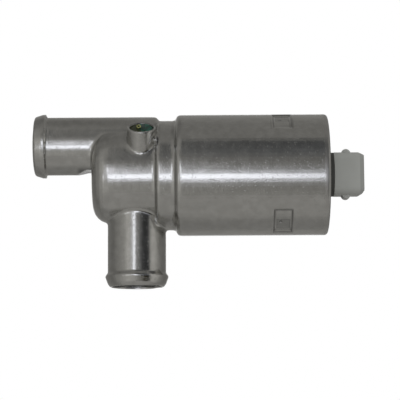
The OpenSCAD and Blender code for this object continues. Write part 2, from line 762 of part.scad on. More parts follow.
module front_bearing_outer() { outer_race(front_bearing_x); }
module front_bearing_inner() { inner_race(front_bearing_x); }
module front_bearing_balls() { ball_set(front_bearing_x); }
module front_bearing_cage() { ball_cage(front_bearing_x); }
module rear_bearing_outer() { outer_race(rear_bearing_x); }
module rear_bearing_inner() { inner_race(rear_bearing_x); }
module rear_bearing_balls() { ball_set(rear_bearing_x); }
module rear_bearing_cage() { ball_cage(rear_bearing_x); }

// Open retaining ring that sits in a groove behind the front bearing
module front_bearing_ring() {
    color([0.4, 0.4, 0.42]) tube_sector(front_ring_x, front_ring_x + ring_t, bearing_r + ring_groove - slip,
        bearing_r - front_ring_reach, 180, front_ring_deg);
}

module rear_shaft_ring() {
    color([0.4, 0.4, 0.42]) tube_sector(rear_ring_x, rear_ring_x + ring_t, shaft_r + rear_ring_rise,
        shaft_r - shaft_groove + slip, 0, rear_ring_deg);
}

// Cone washer that loads the rear bearing
module preload_washer() {
    x0 = rear_seat_x + touch;
    x1 = rear_bearing_x - touch;
    in_r = seat_hole_r + washer_in_gap;
    out_r = bearing_r - washer_out_gap;
    color([0.55, 0.56, 0.58]) along_x(0) rotate_extrude()
        polygon([[in_r, x0], [out_r, x1 - washer_t], [out_r, x1], [in_r, x0 + washer_t]]);
}

module spring_post_place() {
    along_x(partition_x1) rotate([0, 0, spring_post_deg]) translate([spring_post_r, 0, 0]) children();
}

module spring_post() {
    color([0.7, 0.7, 0.72]) spring_post_place() translate([0, 0, -spring_post_set])
        cylinder(h = spring_post_set + spring_room + spring_w + spring_post_tail, d = spring_post_d);
}

module spring_hub() {
    slot_w = spring_t + 2 * slip;
    color([0.74, 0.62, 0.36]) difference() {
        tube(hub_x0, hub_x1, spring_hub_r, shaft_r + press_gap);
        along_x(hub_x0 - cut) rotate([0, 0, spring_start_deg])
            translate([shaft_r + hub_slot_floor, -slot_w / 2, 0])
                cube([spring_hub_r, slot_w, hub_x1 - hub_x0 + 2 * cut]);
    }
}

function spiral_point(a, side) =
    let (r = spring_in_r + (spring_r - spring_in_r) * a / (spring_turns * 360) + side * spring_t / 2)
    [r * cos(spring_start_deg + a), r * sin(spring_start_deg + a)];

// The spring is one strip: a tongue in the hub's slot, a spiral, and an eye round the post
module return_spring() {
    last = spring_turns * 360;
    tongue_r = shaft_r + hub_slot_floor + 2 * slip;
    color([0.5, 0.55, 0.65]) along_x(spring_x) difference() {
        union() {
            linear_extrude(spring_w) polygon(concat(
                [for (a = [0:spring_step:last]) spiral_point(a, -1)],
                [for (a = [last:-spring_step:0]) spiral_point(a, 1)]
            ));
            rotate([0, 0, spring_start_deg]) translate([tongue_r, -spring_t / 2, 0])
                cube([spring_in_r + spring_t / 4 - tongue_r, spring_t, spring_w]);
            rotate([0, 0, spring_post_deg]) translate([spring_post_r, 0, 0])
                cylinder(h = spring_w, r = spring_hook_r + spring_t, $fn = fine_fn);
        }
        rotate([0, 0, spring_post_deg]) translate([spring_post_r, 0, -cut])
            cylinder(h = spring_w + 2 * cut, r = spring_hook_r, $fn = fine_fn);
    }
}

// Laminated ring with two poles whose shoes curve round the rotor
module magnet_stack() {
    x0 = stack_x0 - cut;
    x1 = stack_x1 + cut;
    in_r = shoe_in_r / 2;
    color([0.42, 0.44, 0.47]) intersection() {
        union() {
            tube(x0, x1, can_r, yoke_in_r);
            for (up = [0, 180]) {
                tube_sector(x0, x1, shoe_out_r, in_r, up, shoe_angle);
                along_x(x0) rotate([0, 0, up]) translate([in_r, -pole_w / 2, 0])
                    cube([yoke_in_r + yoke_t / 2 - in_r, pole_w, x1 - x0]);
            }
        }
        tube(stack_x0, stack_x1, bore_r - slip, shoe_in_r);
    }
}

// Places a coil's shape on the lower pole (0) or the upper pole (180)
module at_pole(side) {
    rotate([side, 0, 0]) translate([0, 0, -shoe_out_r - slip - former_h]) children();
}

// A frame that goes round a pole's stem
module stem_frame(half_w, over, h) {
    in_w = pole_w / 2 + slip;
    in_x = slip;
    linear_extrude(h) difference() {
        translate([stack_x0 - over, -half_w]) square([stack_len + 2 * over, 2 * half_w]);
        translate([stack_x0 - in_x, -in_w]) square([stack_len + 2 * in_x, 2 * in_w]);
    }
}

module former(side) {
    color([0.86, 0.83, 0.74]) at_pole(side) {
        stem_frame(coil_half_w, coil_over, former_t);
        stem_frame(pole_w / 2 + slip + former_t, slip + former_t, former_h);
        translate([0, 0, former_h - former_t]) stem_frame(coil_half_w, coil_over, former_t);
    }
}

module winding(side) {
    in_w = pole_w / 2 + 2 * slip + former_t;
    in_x = 2 * slip + former_t;
    out_w = coil_half_w - winding_inset;
    out_x = coil_over - winding_inset;
    color([0.72, 0.36, 0.2]) at_pole(side) translate([0, 0, former_t + slip])
        linear_extrude(former_h - 2 * former_t - 2 * slip) difference() {
            translate([stack_x0 - out_x, -out_w]) square([stack_len + 2 * out_x, 2 * out_w]);
            translate([stack_x0 - in_x, -in_w]) square([stack_len + 2 * in_x, 2 * in_w]);
        }
}

module upper_former() { former(180); }
module lower_former() { former(0); }
module upper_winding() { winding(180); }
module lower_winding() { winding(0); }

module rotor_core() {
    color([0.5, 0.51, 0.54]) tube(stack_x0, stack_x1, rotor_r - magnet_t, shaft_r + press_gap);
}

module rotor_magnets() {
    color([0.2, 0.2, 0.22]) for (side = [90, -90])
        tube_sector(stack_x0, stack_x1, rotor_r, rotor_r - magnet_t + press_gap, side, magnet_angle);
}

module spacer_ring() {
    color([0.7, 0.7, 0.68]) tube(stack_x1 + touch, plate_x0 - touch, bore_r - slip, bore_r - slip - spacer_t);
}

module bearing_plate() {
    color([0.6, 0.6, 0.58]) difference() {
        union() {
            tube(plate_x0, plate_x1, bore_r - slip, plate_rim_r);
            tube(web_x0, web_x0 + plate_web_t, plate_rim_r + weld, plate_hub_r - weld);
            tube(plate_x0 + plate_hub_set, plate_x1 - plate_hub_back, plate_hub_r, seat_hole_r);
        }
        bar(rear_seat_x, plate_x1 + cut, bearing_r + slip / 2);
        each_stake() stake_dent(slip);
        for (i = [0:wire_hole_count - 1])
            along_x(web_x0 - cut) rotate([0, 0, i * 360 / wire_hole_count]) translate([wire_hole_r, 0, 0])
                cylinder(h = plate_web_t + 2 * cut, d = wire_hole_d);
    }
}

// A rubber bush round each lead where it goes through the bearing plate
module wire_grommets() {
    hole_r = wire_hole_d / 2 - touch;
    flange_r = min(wire_hole_d / 2 + grommet_flange_w, wire_hole_r - plate_hub_r - slip);
    in_r = wire_d / 2 + slip;
    flange_x0 = web_x0 - grommet_flange_t;
    x1 = web_x0 + plate_web_t + grommet_tail;
    color([0.12, 0.12, 0.12]) for (up = [0, 180]) along_x(0) rotate([0, 0, up]) translate([wire_hole_r, 0, 0])
        rotate_extrude() polygon([
            [in_r, flange_x0], [flange_r, flange_x0], [flange_r, web_x0 - touch],
            [hole_r, web_x0 - touch], [hole_r, x1], [in_r, x1]
        ]);
}

module end_cap() {
    groove_w = seal_d + seal_room;
    groove_x = (cap_x0 + cap_x1 - groove_w) / 2;
    cap_r = bore_r - slip;
    neck_r = cap_neck_d / 2;
    color([0.2, 0.2, 0.18]) along_x(0) rotate_extrude() polygon([
        [stem_d / 2 + slip, cap_x0],
        [cap_r - cap_edge, cap_x0],
        [cap_r, cap_x0 + cap_edge],
        [cap_r, groove_x],
        [bore_r - seal_d, groove_x],
        [bore_r - seal_d, groove_x + groove_w],
        [cap_r, groove_x + groove_w],
        [cap_r, cap_x1],
        [neck_r + cap_neck_chamfer, cap_x1],
        [neck_r, cap_x1 + cap_neck_chamfer],
        [neck_r, shroud_x0],
        [stem_d / 2 + slip, shroud_x0]
    ]);
}

module cap_seal() {
    mid_x = (cap_x0 + cap_x1) / 2;
    color([0.08, 0.08, 0.08]) along_x(mid_x) rotate_extrude() translate([bore_r - seal_d / 2, 0])
        circle(r = seal_d / 2 - touch, $fn = fine_fn);
}

// Rectangle with rounded corners, its long side along Z once it lies along X
module shroud_shape(w, h, r) {
    for (sx = [-1, 1]) for (sy = [-1, 1])
        translate([sx * (w / 2 - r), sy * (h / 2 - r)]) circle(r = r, $fn = shroud_fn);
    square([w - 2 * r, h], center = true);
    square([w, h - 2 * r], center = true);
}

module plug_shroud() {
    in_w = shroud_w - 2 * shroud_end_wall;
    in_h = shroud_h - 2 * shroud_wall;
    in_r = max(min_corner_r, shroud_r - shroud_wall);
    lug_r = (pow(plug_lug_len / 2, 2) + pow(plug_lug_h, 2)) / (2 * plug_lug_h);
    color([0.56, 0.56, 0.53]) difference() {
        union() {
            along_x(shroud_x0) linear_extrude(shroud_len) shroud_shape(shroud_w, shroud_h, shroud_r);
            for (side = [-1, 1])
                translate([shroud_x0 + plug_lug_from_floor, 0, side * (shroud_w / 2 + plug_lug_h - lug_r)])
                    rotate([90, 0, 0]) cylinder(h = plug_lug_w, r = lug_r, center = true);
            bar(stem_x0, shroud_x0 + weld, stem_d / 2);
        }
        along_x(shroud_x0 + shroud_floor) linear_extrude(shroud_len) shroud_shape(in_w, in_h, in_r);
        for (side = [0, 180]) rotate([side, 0, 0]) rotate([90, 0, 0]) translate([0, 0, -shroud_h])
            linear_extrude(2 * shroud_h) polygon([
                [shroud_x1 - bevel_len, shroud_w / 2],
                [shroud_x1 - bevel_len, shroud_w / 2 + cut],
                [shroud_x1 + cut, shroud_w / 2 + cut],
                [shroud_x1 + cut, shroud_w / 2 - bevel_depth],
                [shroud_x1, shroud_w / 2 - bevel_depth]
            ]);
        for (side = [-1, 1])
            translate([stem_x0 - cut, -blade_w / 2 - touch, side * blade_pitch / 2 - blade_t / 2 - touch])
                cube([shroud_x1 - stem_x0, blade_w + 2 * touch, blade_t + 2 * touch]);
    }
}

// A contact blade with a bevelled tip and an eye for its lead
module blade(side) {
    half = blade_w / 2;
    color([0.76, 0.74, 0.66]) translate([0, 0, side * blade_pitch / 2 - blade_t / 2]) linear_extrude(blade_t)
        difference() {
            polygon([
                [blade_x0, -half], [blade_x1 - blade_tip, -half], [blade_x1, -half + blade_tip],
                [blade_x1, half - blade_tip], [blade_x1 - blade_tip, half], [blade_x0, half]
            ]);
            translate([lead_x, 0]) circle(d = wire_d + 2 * slip, $fn = fine_fn);
        }
}

module upper_blade() { blade(1); }
module lower_blade() { blade(-1); }

// A stiff lead from the winding, through the bearing plate and down into the blade's eye
module lead(side) {
    eye_z = (blade_pitch - blade_t) / 2;
    color([0.7, 0.35, 0.2]) rotate([side, 0, 0]) {
        translate([0, 0, wire_hole_r]) bar(stack_x1 + coil_over + slip, lead_x, wire_d / 2);
        translate([lead_x, 0, wire_hole_r]) sphere(d = wire_d, $fn = fine_fn);
        translate([lead_x, 0, eye_z]) cylinder(h = wire_hole_r - eye_z, d = wire_d);
    }
}

module upper_lead() { lead(0); }
module lower_lead() { lead(180); }

housing();
stop_screw();
sealing_lacquer();
rotary_slide();
slide_pin();
shaft();
shaft_seal();
front_bearing_outer();
front_bearing_inner();
front_bearing_balls();
front_bearing_cage();
front_bearing_ring();
rear_bearing_outer();
rear_bearing_inner();
rear_bearing_balls();
rear_bearing_cage();
rear_shaft_ring();
preload_washer();
spring_hub();
return_spring();
spring_post();
magnet_stack();
upper_former();
lower_former();
upper_winding();
lower_winding();
rotor_core();
rotor_magnets();
spacer_ring();
bearing_plate();
wire_grommets();
end_cap();
cap_seal();
plug_shroud();
upper_blade();
lower_blade();
upper_lead();
lower_lead();
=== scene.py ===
import json
import math

import bmesh
import bpy
import numpy as np
from mathutils import Matrix, Vector, noise


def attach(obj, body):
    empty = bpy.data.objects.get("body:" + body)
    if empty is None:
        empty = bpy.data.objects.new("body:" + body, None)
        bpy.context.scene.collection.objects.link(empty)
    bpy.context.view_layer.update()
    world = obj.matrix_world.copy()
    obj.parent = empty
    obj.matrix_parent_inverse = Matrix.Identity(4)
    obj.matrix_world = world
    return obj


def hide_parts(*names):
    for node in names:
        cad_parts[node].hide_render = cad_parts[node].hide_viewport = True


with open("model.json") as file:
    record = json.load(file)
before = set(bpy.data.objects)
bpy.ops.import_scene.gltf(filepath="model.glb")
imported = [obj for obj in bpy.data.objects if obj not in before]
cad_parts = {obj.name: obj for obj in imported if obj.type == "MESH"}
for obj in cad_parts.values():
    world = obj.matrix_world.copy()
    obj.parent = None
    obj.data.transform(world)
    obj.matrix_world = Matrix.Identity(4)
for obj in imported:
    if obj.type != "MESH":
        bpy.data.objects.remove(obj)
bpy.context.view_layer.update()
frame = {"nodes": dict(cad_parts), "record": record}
nodes = frame["nodes"]
scene = bpy.context.scene
millimetre = 0.001


# Camera: close to level, a little below the shaft, as in the photograph
view = {
    "lens": 152.9,
    "sensor": 36.0,
    "clipStart": 0.01,
    "distance": 632.0,
    "below": 7.4,          # degrees that the camera sits below the shaft
    "roll": 0.36,
    "middle": (-19.27, 0.0, 0.0),
    "drop": 9.1,           # how far the picture's middle lies under the shaft
}
tilt = math.radians(view["below"])
towardCamera = Vector((0.0, -math.cos(tilt), -math.sin(tilt)))
upInView = Vector((0.0, -math.sin(tilt), math.cos(tilt)))
rightInView = Vector((1.0, 0.0, 0.0))


def placeCamera():
    roll = math.radians(view["roll"])
    right = rightInView * math.cos(roll) - upInView * math.sin(roll)
    up = rightInView * math.sin(roll) + upInView * math.cos(roll)
    target = Vector(view["middle"]) - upInView * view["drop"]
    place = (target + towardCamera * view["distance"]) * millimetre
    turn = Matrix((right, up, towardCamera)).transposed().to_4x4()
    data = bpy.data.cameras.new("camera")
    data.lens = view["lens"]
    data.sensor_width = view["sensor"]
    data.clip_start = view["clipStart"]
    camera = bpy.data.objects.new("camera", data)
    camera.matrix_world = Matrix.Translation(place) @ turn
    scene.collection.objects.link(camera)
    scene.camera = camera


placeCamera()
scene.view_settings.view_transform = "Standard"
print("camera placed")


# Node tools: a wrapped socket that takes arithmetic, and one method for every other node
class Wire:
    def __init__(self, board, socket):
        self.board = board
        self.socket = socket

    def __add__(self, other): return self.board.maths("ADD", self, other)
    def __radd__(self, other): return self.board.maths("ADD", other, self)
    def __sub__(self, other): return self.board.maths("SUBTRACT", self, other)
    def __rsub__(self, other): return self.board.maths("SUBTRACT", other, self)
    def __mul__(self, other): return self.board.maths("MULTIPLY", self, other)
    def __rmul__(self, other): return self.board.maths("MULTIPLY", other, self)
    def __truediv__(self, other): return self.board.maths("DIVIDE", self, other)
    def __pow__(self, other): return self.board.maths("POWER", self, other)

    def output(self, name):
        # another output of the same node
        return Wire(self.board, self.socket.node.outputs[name])


class Board:
    def __init__(self, tree):
        self.tree = tree
        tree.nodes.clear()

    def add(self, kind, settings, sockets, out=0):
        node = self.tree.nodes.new(kind)
        for name, value in settings.items():
            if name == "stops":
                ramp = node.color_ramp
                for index, (place, colour) in enumerate(value):
                    stop = ramp.elements[index] if index < 2 else ramp.elements.new(place)
                    stop.position = place
                    stop.color = (*colour, 1.0)
            else:
                setattr(node, name, value)
        for key, value in sockets.items():
            if isinstance(value, Wire):
                self.tree.links.new(value.socket, node.inputs[key])
            else:
                node.inputs[key].default_value = value
        return Wire(self, node.outputs[out]) if node.outputs else None

    def maths(self, operation, first, second=0.0):
        return self.add("ShaderNodeMath", {"operation": operation}, {0: first, 1: second})

    def clamp(self, value):
        return self.add("ShaderNodeClamp", {}, {"Value": value})

    def smooth(self, value, low, high):
        return self.add("ShaderNodeMapRange", {"interpolation_type": "SMOOTHSTEP"},
                        {"Value": value, "From Min": low, "From Max": high})

    def blend(self, factor, first, second, kind="MIX"):
        return self.add("ShaderNodeMix", {"data_type": "RGBA", "blend_type": kind},
                        {0: factor, 6: colour4(first), 7: colour4(second)}, 2)

    def dot(self, vector, fixed):
        return self.add("ShaderNodeVectorMath", {"operation": "DOT_PRODUCT"}, {0: vector, 1: tuple(fixed)}, 1)

    def place(self):
        return self.add("ShaderNodeTexCoord", {}, {}, 3)

    def reach(self, x, y, z):
        # how far a point lies in a direction, in millimetres
        return self.dot(self.place(), (x / millimetre, y / millimetre, z / millimetre))

    def grain(self, size, detail=2.0, rough=0.5, vector=None):
        return self.add("ShaderNodeTexNoise", {"noise_dimensions": "3D"},
                        {"Vector": vector or self.place(), "Scale": 1.0 / (size * millimetre),
                         "Detail": detail, "Roughness": rough})

    def stretched(self, scale):
        return self.add("ShaderNodeMapping", {}, {"Vector": self.place(), "Scale": scale})

    def bump(self, height, depth, strength=1.0, normal=None):
        sockets = {"Height": height, "Distance": depth * millimetre, "Strength": strength}
        if normal:
            sockets["Normal"] = normal
        return self.add("ShaderNodeBump", {}, sockets)


def colour4(value):
    return value if isinstance(value, Wire) else (*value, 1.0)


def newMaterial(name):
    material = bpy.data.materials.new(name)
    material.use_nodes = True
    return material, Board(material.node_tree)


def closeMaterial(board, sockets):
    shader = board.add("ShaderNodeBsdfPrincipled", {}, sockets)
    board.add("ShaderNodeOutputMaterial", {}, {"Surface": shader})


def newPiece(shape, name):
    # turns a built shape into an object of the scene
    mesh = bpy.data.meshes.new(name)
    shape.to_mesh(mesh)
    shape.free()
    piece = bpy.data.objects.new(name, mesh)
    scene.collection.objects.link(piece)
    return piece


# Studio: soft light in front of the object, and bands of light and dark round it
studio = {
    "metalShare": 0.55,            # what the metal shows of the light that meets it
    "plain": 0.97,                 # the even light on everything that isn't a mirror
    "backdropEdge": (0.955, 0.975),
    "tint": (1.0, 0.985, 0.945),
    "coolTint": (0.955, 0.985, 1.03),
    "coolBelow": 0.09,
    "lampTint": (0.92, 0.95, 1.06),
    "lampAzimuth": -2.5,
    "lampHeight": -2.8,
    "lampDistance": 1.3,
    "lampSize": (0.42, 0.26),
    "lampPower": 0.34,
    "leftEdge": (-0.06, -0.028),
    "glowFade": (0.2, 0.6),
    "tiny": 0.00001,
    # soft lights: sideways and upward direction, spread in both, how bright the metal shows them
    "softLights": [
        (-0.035, -0.045, 0.2, 0.15, 0.5),
        (-0.24, 0.22, 0.09, 0.15, 0.26),
        (-0.15, 0.22, 0.055, 0.14, 1.25),
        (-0.5, -0.06, 0.13, 0.1, 0.5),
        (0.5, -0.05, 0.28, 0.085, 0.4),
        (0.42, -0.33, 0.24, 0.24, -0.065),
    ],
    # angle round the object from the camera's side, and how bright the metal shows it
    "upBands": [
        (-180, 0.15), (-136, 0.166), (-112, 0.135), (-94, 0.13), (-80, 0.18), (-57, 0.18), (-42, 0.172),
        (-34, 0.166), (-26, 0.15), (-18, 0.135), (0, 0.13), (18, 0.115), (30, 0.1), (42, 0.072),
        (55, 0.046), (68, 0.038), (72, 0.128), (110, 0.13), (146, 0.16), (180, 0.15),
    ],
    "leftBands": [
        (-180, 0.15), (-120, 0.12), (-95, 0.14), (-75, 0.17), (-50, 0.2), (-42, 0.2), (-28, 0.26),
        (0, 0.18), (18, 0.22), (30, 0.165), (41, 0.13), (54, 0.16), (67, 0.16), (82, 0.125),
        (99, 0.1), (120, 0.1), (150, 0.16), (180, 0.15),
    ],
    "sideBands": [
        (-180, 0.15), (-130, 0.115), (-104, 0.1), (-84, 0.15), (-64, 0.18), (-47, 0.215), (-38, 0.31),
        (-28, 0.3), (-16, 0.2), (0, 0.15), (8, 0.085), (18, 0.035), (27, 0.016), (36, 0.012),
        (46, 0.015), (51, 0.03), (55, 0.19), (62, 0.27), (71, 0.29), (82, 0.25), (92, 0.185),
        (104, 0.14), (117, 0.115), (135, 0.1), (180, 0.15),
    ],
}


def buildWorld():
    world = bpy.data.worlds.new("studio")
    scene.world = world
    world.use_nodes = True
    board = Board(world.node_tree)
    share = studio["metalShare"]
    direction = board.add("ShaderNodeTexCoord", {}, {}, 0)
    ahead = board.dot(direction, towardCamera)
    up = board.dot(direction, upInView)
    side = board.dot(direction, rightInView)

    def bands(across, table):
        turn = board.maths("ARCTAN2", across, ahead) / (2 * math.pi) + 0.5
        stops = []
        for angle, value in table:
            tint = studio["coolTint"] if value < studio["coolBelow"] else studio["tint"]
            stops.append(((angle + 180) / 360, [value / share * part for part in tint]))
        return board.add("ShaderNodeValToRGB", {"stops": stops}, {"Fac": turn})

    up4 = (up * up) ** 2
    side4 = (side * side) ** 2
    overhead = board.blend(board.smooth(side, *studio["leftEdge"]), bands(up, studio["leftBands"]),
                           bands(up, studio["upBands"]))
    sideShare = up4 / (up4 + side4 + studio["tiny"])
    pattern = board.blend(sideShare, bands(side, studio["sideBands"]), overhead)
    glow = 0.0
    for sideways, upward, sideSpread, upSpread, bright in studio["softLights"]:
        across = (side - sideways) / sideSpread
        above = (up - upward) / upSpread
        glow = board.maths("EXPONENT", (across * across + above * above) * -1.0) * (bright / share) + glow
    glow = glow * board.smooth(ahead, *studio["glowFade"])
    pattern = board.blend(1.0, pattern, board.blend(1.0, glow, studio["lampTint"], "MULTIPLY"), "ADD")
    isCamera = board.add("ShaderNodeLightPath", {}, {})
    isGlossy = isCamera.output("Is Glossy Ray")
    isClear = isCamera.output("Is Transmission Ray")
    isDiffuse = isCamera.output("Is Diffuse Ray")
    behind = board.smooth(ahead * -1.0, *studio["backdropEdge"])
    surround = board.blend(isDiffuse, pattern, [studio["plain"]] * 3)
    colour = board.blend(board.clamp(isCamera + isClear + isGlossy * behind), surround, (1.0, 1.0, 1.0))
    background = board.add("ShaderNodeBackground", {}, {"Color": colour, "Strength": 1.0})
    board.add("ShaderNodeOutputWorld", {}, {"Surface": background})


def buildLamp():
    azimuth = math.radians(studio["lampAzimuth"])
    height = math.radians(studio["lampHeight"])
    way = (towardCamera * math.cos(azimuth) + rightInView * math.sin(azimuth)) * math.cos(height)
    way = way + upInView * math.sin(height)
    turn = way.to_track_quat("Z", "Y").to_matrix().to_4x4()
    data = bpy.data.lights.new("softLamp", "AREA")
    data.shape = "ELLIPSE"
    data.size, data.size_y = studio["lampSize"]
    data.energy = studio["lampPower"]
    data.color = studio["lampTint"]
    lamp = bpy.data.objects.new("softLamp", data)
    lamp.matrix_world = Matrix.Translation(way * studio["lampDistance"]) @ turn
    scene.collection.objects.link(lamp)


buildWorld()
buildLamp()


# Floor: a small pale disc far below, since the camera looks up a little. Its back half is painted darker, a
# painted shade that the metal reflects
ground = {
    "height": -0.34,
    "radius": 0.32,
    "segments": 96,
    # painted shade: the floor darkens from here towards its back, to the far colour
    "backShadeFrom": (-0.03, 0.08),
    "grain": 60.0,
    "near": ((0.37, 0.365, 0.35), (0.41, 0.405, 0.39)),
    "far": (0.285, 0.282, 0.272),
    "roughness": 0.7,
    "specular": 0.2,
}


def buildFloor():
    shape = bmesh.new()
    bmesh.ops.create_circle(shape, cap_ends=True, segments=ground["segments"], radius=ground["radius"])
    bmesh.ops.translate(shape, verts=shape.verts, vec=(0, 0, ground["height"]))
    floor = newPiece(shape, "floor")
    material, board = newMaterial("paleFloor")
    xyz = board.add("ShaderNodeSeparateXYZ", {}, {"Vector": board.place()})
    # painted shade: the floor darkens towards its back, for the metal's underside to reflect
    backShade = board.smooth(xyz.output("Y"), *ground["backShadeFrom"])
    near = board.blend(board.grain(ground["grain"], detail=3.0), *ground["near"])
    colour = board.blend(backShade, near, ground["far"])
    closeMaterial(board, {"Base Color": colour, "Roughness": ground["roughness"],
                          "Specular IOR Level": ground["specular"]})
    floor.data.materials.append(material)


buildFloor()
print("studio built")


# Housing: the sizes that the casting's skin and its shading follow, in millimetres and degrees
casting = {
    "voxel": 0.3,
    "skinPasses": 2,
    "cornerPasses": 46,
    "cornerReach": 3.2,
    "outsideReach": 1.6,
    "leastWeight": 0.02,
    "margin": 1,
    "frontInset": 2,
    "chamberRadius": 17.7,
    "neckFace": -35.1,
    "chamberFace": -58.9,
    "pipeRadius": 10.8,
    "inletHeight": 11.2,
    "inletEnd": -34.6,
    "outletPlace": -42.7,
    "outletBelow": -9,
    "bossPlace": -40.4,
    "bossRadius": 5.4,
    "bossLean": 30.0,
    "bossOffset": 6.3,
    "bossAbove": 10,
    "canFace": -28.0,
    "canRadius": 22.5,
    "neckRadius": 20.4,
    "shoulderReach": 4,
    "shoulderDepth": 1.2,
    "rimFrom": (26.1, 20.6),
    "rimRadius": 1.9,
    "rimShare": 0.75,
    "rimPower": 3.2,
    # the inlet's nose and bead: places along the pipe, and the radius at each
    "nose": ((-80.7, -80.5, -80.2, -79.9, -77.6, -76.4, -75.95, -75.7),
             (9.6, 10.45, 10.95, 11.12, 11.85, 11.91, 10.86, 10.8)),
    "noseInner": 9.7,
    "noseExact": -79.0,
    "noseEnd": -74.6,
    "noseEdges": (-76.4, -75.95),
    "noseFacing": 0.15,
    "edgeReach": 0.15,
    "sliver": 0.005,
    "mostTriangles": 190000,
    "bendReach": 2,
}
bossLean = math.radians(casting["bossLean"])


# The mark of the staking punch in each pocket: a shallow flat and a centre pip, and painted shade lines along
# the pocket's edge and round the flat
punch = {
    "along": 11.0,
    "floorRadius": 21.7,
    "floorBetween": (20.9, 21.95),
    "reach": 3.0,
    "flatAlong": (-2.3, 2.4),
    "flatAcross": (-1.5, 4.6),
    "flatDepth": 0.1,
    "flatSlope": 0.3,
    "flatBump": 0.03,
    "pipAlong": -0.95,
    "pipRadius": 0.62,
    "pipDepth": 0.8,
    "pipPower": 1.4,
    "edge": 0.12,
    "halfAlong": 3.3,
    "halfAcross": 6.6,
    "lipHeight": 0.05,
    "lipPlace": 0.75,
    "lipWidth": 0.35,
    # painted shade lines along the pocket's edge and round the flat: width, and how dark
    "outline": (0.42, 0.62),
    "innerLineShade": (0.22, 0.5),
    "canFrom": (20.5, 21.0),
    "floorUpTo": (21.9, 22.1),
}


def punchMark(board):
    # height in millimetres, where the flat lies, how much painted shade the outlines get, and the place along
    # the can
    along = board.reach(1, 0, 0)
    x = along - punch["along"]
    y = board.reach(0, 1, 0)
    z = board.reach(0, 0, 1)
    third = board.maths("ARCTAN2", z, y) * (1.5 / math.pi)
    turn = third - board.maths("ROUND", third)
    across = turn * (2 * math.pi / 3 * punch["floorRadius"]) * board.maths("SIGN", z * -1.0)
    out = (y * y + z * z) ** 0.5
    edge = punch["edge"]

    def inside(value, low, high):
        return board.smooth(value, low, low + edge) * (1.0 - board.smooth(value, high - edge, high))

    def beyond(halfAlong, halfAcross, midAlong=0.0, midAcross=0.0):
        # how far a point lies outside a rectangle
        beside = board.maths("ABSOLUTE", x - midAlong) - halfAlong
        return board.maths("MAXIMUM", beside, board.maths("ABSOLUTE", across - midAcross) - halfAcross)

    def line(distance, width):
        return board.clamp(1.0 - board.maths("ABSOLUTE", distance) / width)

    onCan = board.smooth(out, *punch["canFrom"])
    onFloor = onCan * (1.0 - board.smooth(out, *punch["floorUpTo"]))
    flat = inside(x, *punch["flatAlong"]) * inside(across, *punch["flatAcross"]) * onFloor
    fromPip = ((x - punch["pipAlong"]) ** 2 + across ** 2) ** 0.5
    pip = board.clamp(1.0 - fromPip / punch["pipRadius"]) ** punch["pipPower"] * onFloor
    low, high = punch["flatAlong"]
    near, far = punch["flatAcross"]
    fromPocket = beyond(punch["halfAlong"], punch["halfAcross"])
    fromFlat = beyond((high - low) / 2, (far - near) / 2, (high + low) / 2, (far + near) / 2)
    lip = line(fromPocket - punch["lipPlace"], punch["lipWidth"]) * onCan
    height = lip * punch["lipHeight"] - flat * punch["flatBump"] - pip * punch["pipDepth"]
    # painted shade along the pocket's edge and round the flat
    outlineWidth, outlineShare = punch["outline"]
    innerWidth, innerShare = punch["innerLineShade"]
    outer = line(fromPocket, outlineWidth) * outlineShare
    inner = line(fromFlat, innerWidth) * onFloor * innerShare
    return height, flat, board.maths("MAXIMUM", outer, inner) * onCan, along


# Shaded spots: limits along and across the boss or the part, in millimetres
shade = {
    "rimUp": (19.6, 20.6),
    "rimBack": (-0.5, 2.5),
    "rimOut": (5.3, 6.0),
    "pipeFrom": (-65.2, -63.2),
    "pipeTo": (-59.4, -58.8),
    "pipeUp": (1.2, 2.6),
}


def farRim(board):
    # the far side of the boss's rim lies in the inlet pipe's shade
    u = board.reach(1, 0, 0) - casting["bossPlace"]
    v = board.reach(0, math.cos(bossLean), math.sin(bossLean)) + casting["bossOffset"]
    w = board.reach(0, -math.sin(bossLean), math.cos(bossLean))
    out = (u * u + v * v) ** 0.5
    atTop = board.smooth(w, *shade["rimUp"]) * board.smooth(v, *shade["rimBack"])
    return atTop * (1.0 - board.smooth(out, *shade["rimOut"]))


def underPipe(board):
    # painted shade: the hollow between the inlet pipe's underside and the chamber is darkened
    x = board.reach(1, 0, 0)
    z = board.reach(0, 0, 1)
    between = board.smooth(x, *shade["pipeFrom"]) * (1.0 - board.smooth(x, *shade["pipeTo"]))
    return between * (1.0 - board.smooth(z, *shade["pipeUp"]))


